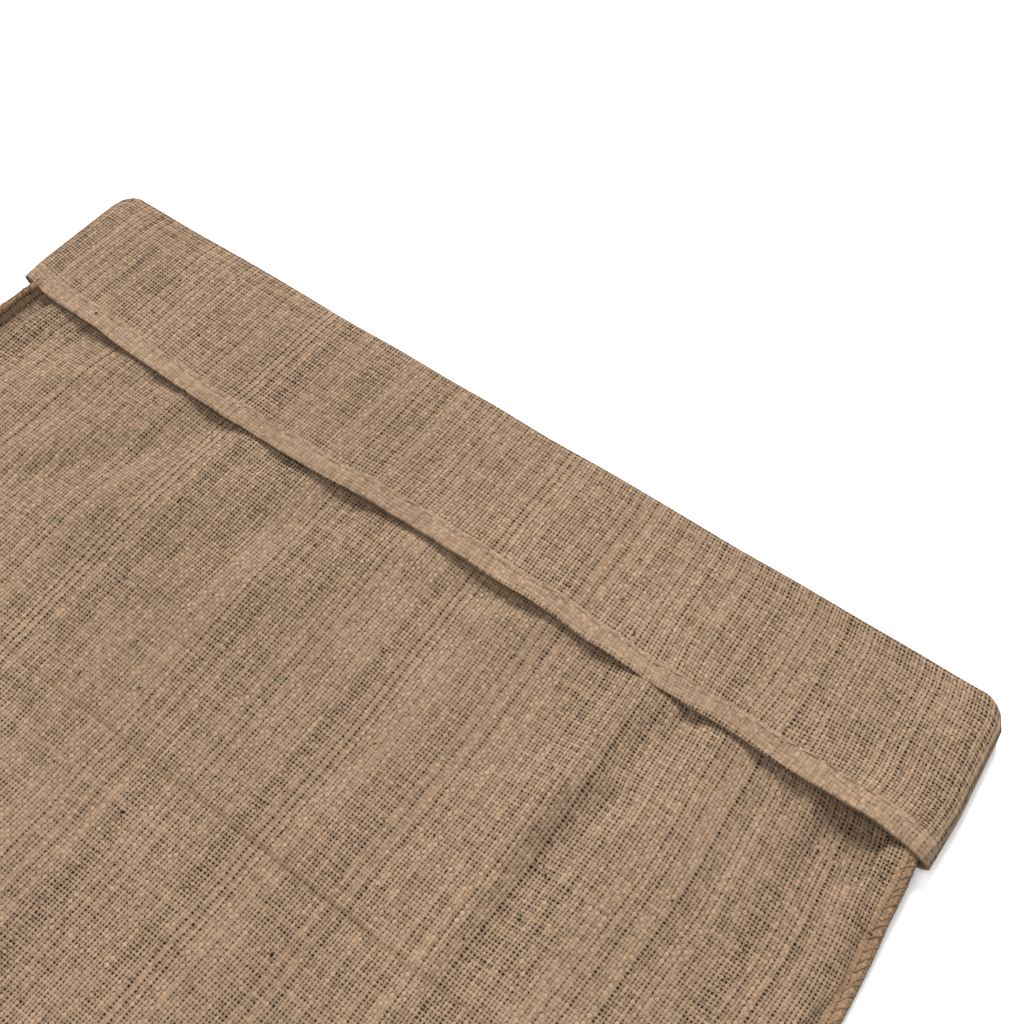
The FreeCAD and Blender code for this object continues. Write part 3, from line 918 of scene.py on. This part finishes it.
def hem_stitch_path(front_side):
    dice = np.random.default_rng(83)
    row = face[-2]
    path = []
    place = -LINE_END
    while place < LINE_END:
        stitch = 0.0074 + dice.uniform(-0.0026, 0.0026)
        gap = 0.0012 + dice.uniform(0.0, 0.0022)
        sway = 0.0012 * float(ripple(place, 0.0, 85, 0.02, 1.0)) + dice.uniform(-0.0006, 0.0006)
        slant = dice.uniform(-0.0012, 0.0012)
        for forward, lift in (
            (0.0, -0.0010),
            (0.0009, -0.0001),
            (0.5 * stitch, 0.0001),
            (stitch - 0.0009, -0.0002),
            (stitch, -0.0010),
        ):
            at = place + forward
            y = np.interp(at, row[:, 0], row[:, 1]) - 0.0004 + sway
            y += slant * (forward / stitch - 0.5)
            path.append((at, y, np.interp(at, row[:, 0], row[:, 2]) + lift))
        place += stitch + gap
    path = np.array(path)
    if not front_side:
        path[:, 2] = np.maximum(mirrored_height(path[:, 2]), THREAD_LOWEST)
    return smoothed_path(path)


for name, front_side, body, node in (
    ("front_hem_stitching", True, "front_cuff_half", "front_hem_thread"),
    ("back_hem_stitching", False, "back_cuff_half", "back_hem_thread"),
):
    thread = twisted_yarn(name, hem_stitch_path(front_side), THREAD_RADIUS, thread_look)
    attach(thread, body)
    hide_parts(node)

# ---------------------------------------------------------------------------
# The studio: a pale floor just under the sack and a white surround. A large soft lamp stands high
# up beyond the mouth, to the left, and a smaller and much weaker one hangs above the sack.
FLOOR_REACH = 40
FLOOR_WHITE = 0.97
floor_corners = ((-1, -1), (1, -1), (1, 1), (-1, 1))
floor_mesh = bpy.data.meshes.new("floor")
floor_mesh.from_pydata(
    [(x * FLOOR_REACH, y * FLOOR_REACH, 0) for x, y in floor_corners], [], [(0, 1, 2, 3)]
)
floor = bpy.data.objects.new("floor", floor_mesh)
floor.location.z = -0.0006
bpy.context.scene.collection.objects.link(floor)
floor_look = bpy.data.materials.new("floor")
floor_look.use_nodes = True
floor_shader = floor_look.node_tree.nodes["Principled BSDF"]
floor_shader.inputs["Base Color"].default_value = (FLOOR_WHITE, FLOOR_WHITE, FLOOR_WHITE, 1)
floor_shader.inputs["Roughness"].default_value = 0.9
floor_mesh.materials.append(floor_look)

world = bpy.data.worlds.new("studio")
bpy.context.scene.world = world
world.use_nodes = True
surround = world.node_tree.nodes["Background"]
surround.inputs["Color"].default_value = (1.0, 1.0, 1.0, 1.0)
surround.inputs["Strength"].default_value = 0.50


def lamp(name, place, target, size, watts):
    data = bpy.data.lights.new(name, "AREA")
    data.shape = "SQUARE"
    data.size = size
    data.energy = watts
    made = bpy.data.objects.new(name, data)
    bpy.context.scene.collection.objects.link(made)
    made.location = place
    away = np.array(target) - np.array(place)
    made.rotation_euler = (
        math.atan2(math.hypot(away[0], away[1]), -away[2]),
        0.0,
        math.atan2(away[1], away[0]) - math.pi / 2,
    )


lamp("key", place=(-3.3, 6.0, 6.6), target=(0.0, 0.2, 0.0), size=3.4, watts=2150.0)
lamp("top", place=(0.2, -0.7, 2.6), target=(0.0, 0.1, 0.0), size=1.8, watts=56.0)

# the eye stands over the sack's right-hand side and looks down towards the mouth
scene = bpy.context.scene
scene.view_settings.view_transform = "Standard"
scene.view_settings.look = "None"
eye_data = bpy.data.cameras.new("eye")
eye_data.sensor_width = 36.0
eye_data.lens = 59.77
eye = bpy.data.objects.new("eye", eye_data)
scene.collection.objects.link(eye)
eye.location = (0.341, 0.0626, 0.780)
eye.rotation_euler = (math.radians(31.2303), math.radians(2.9843), math.radians(36.5889))
scene.camera = eye
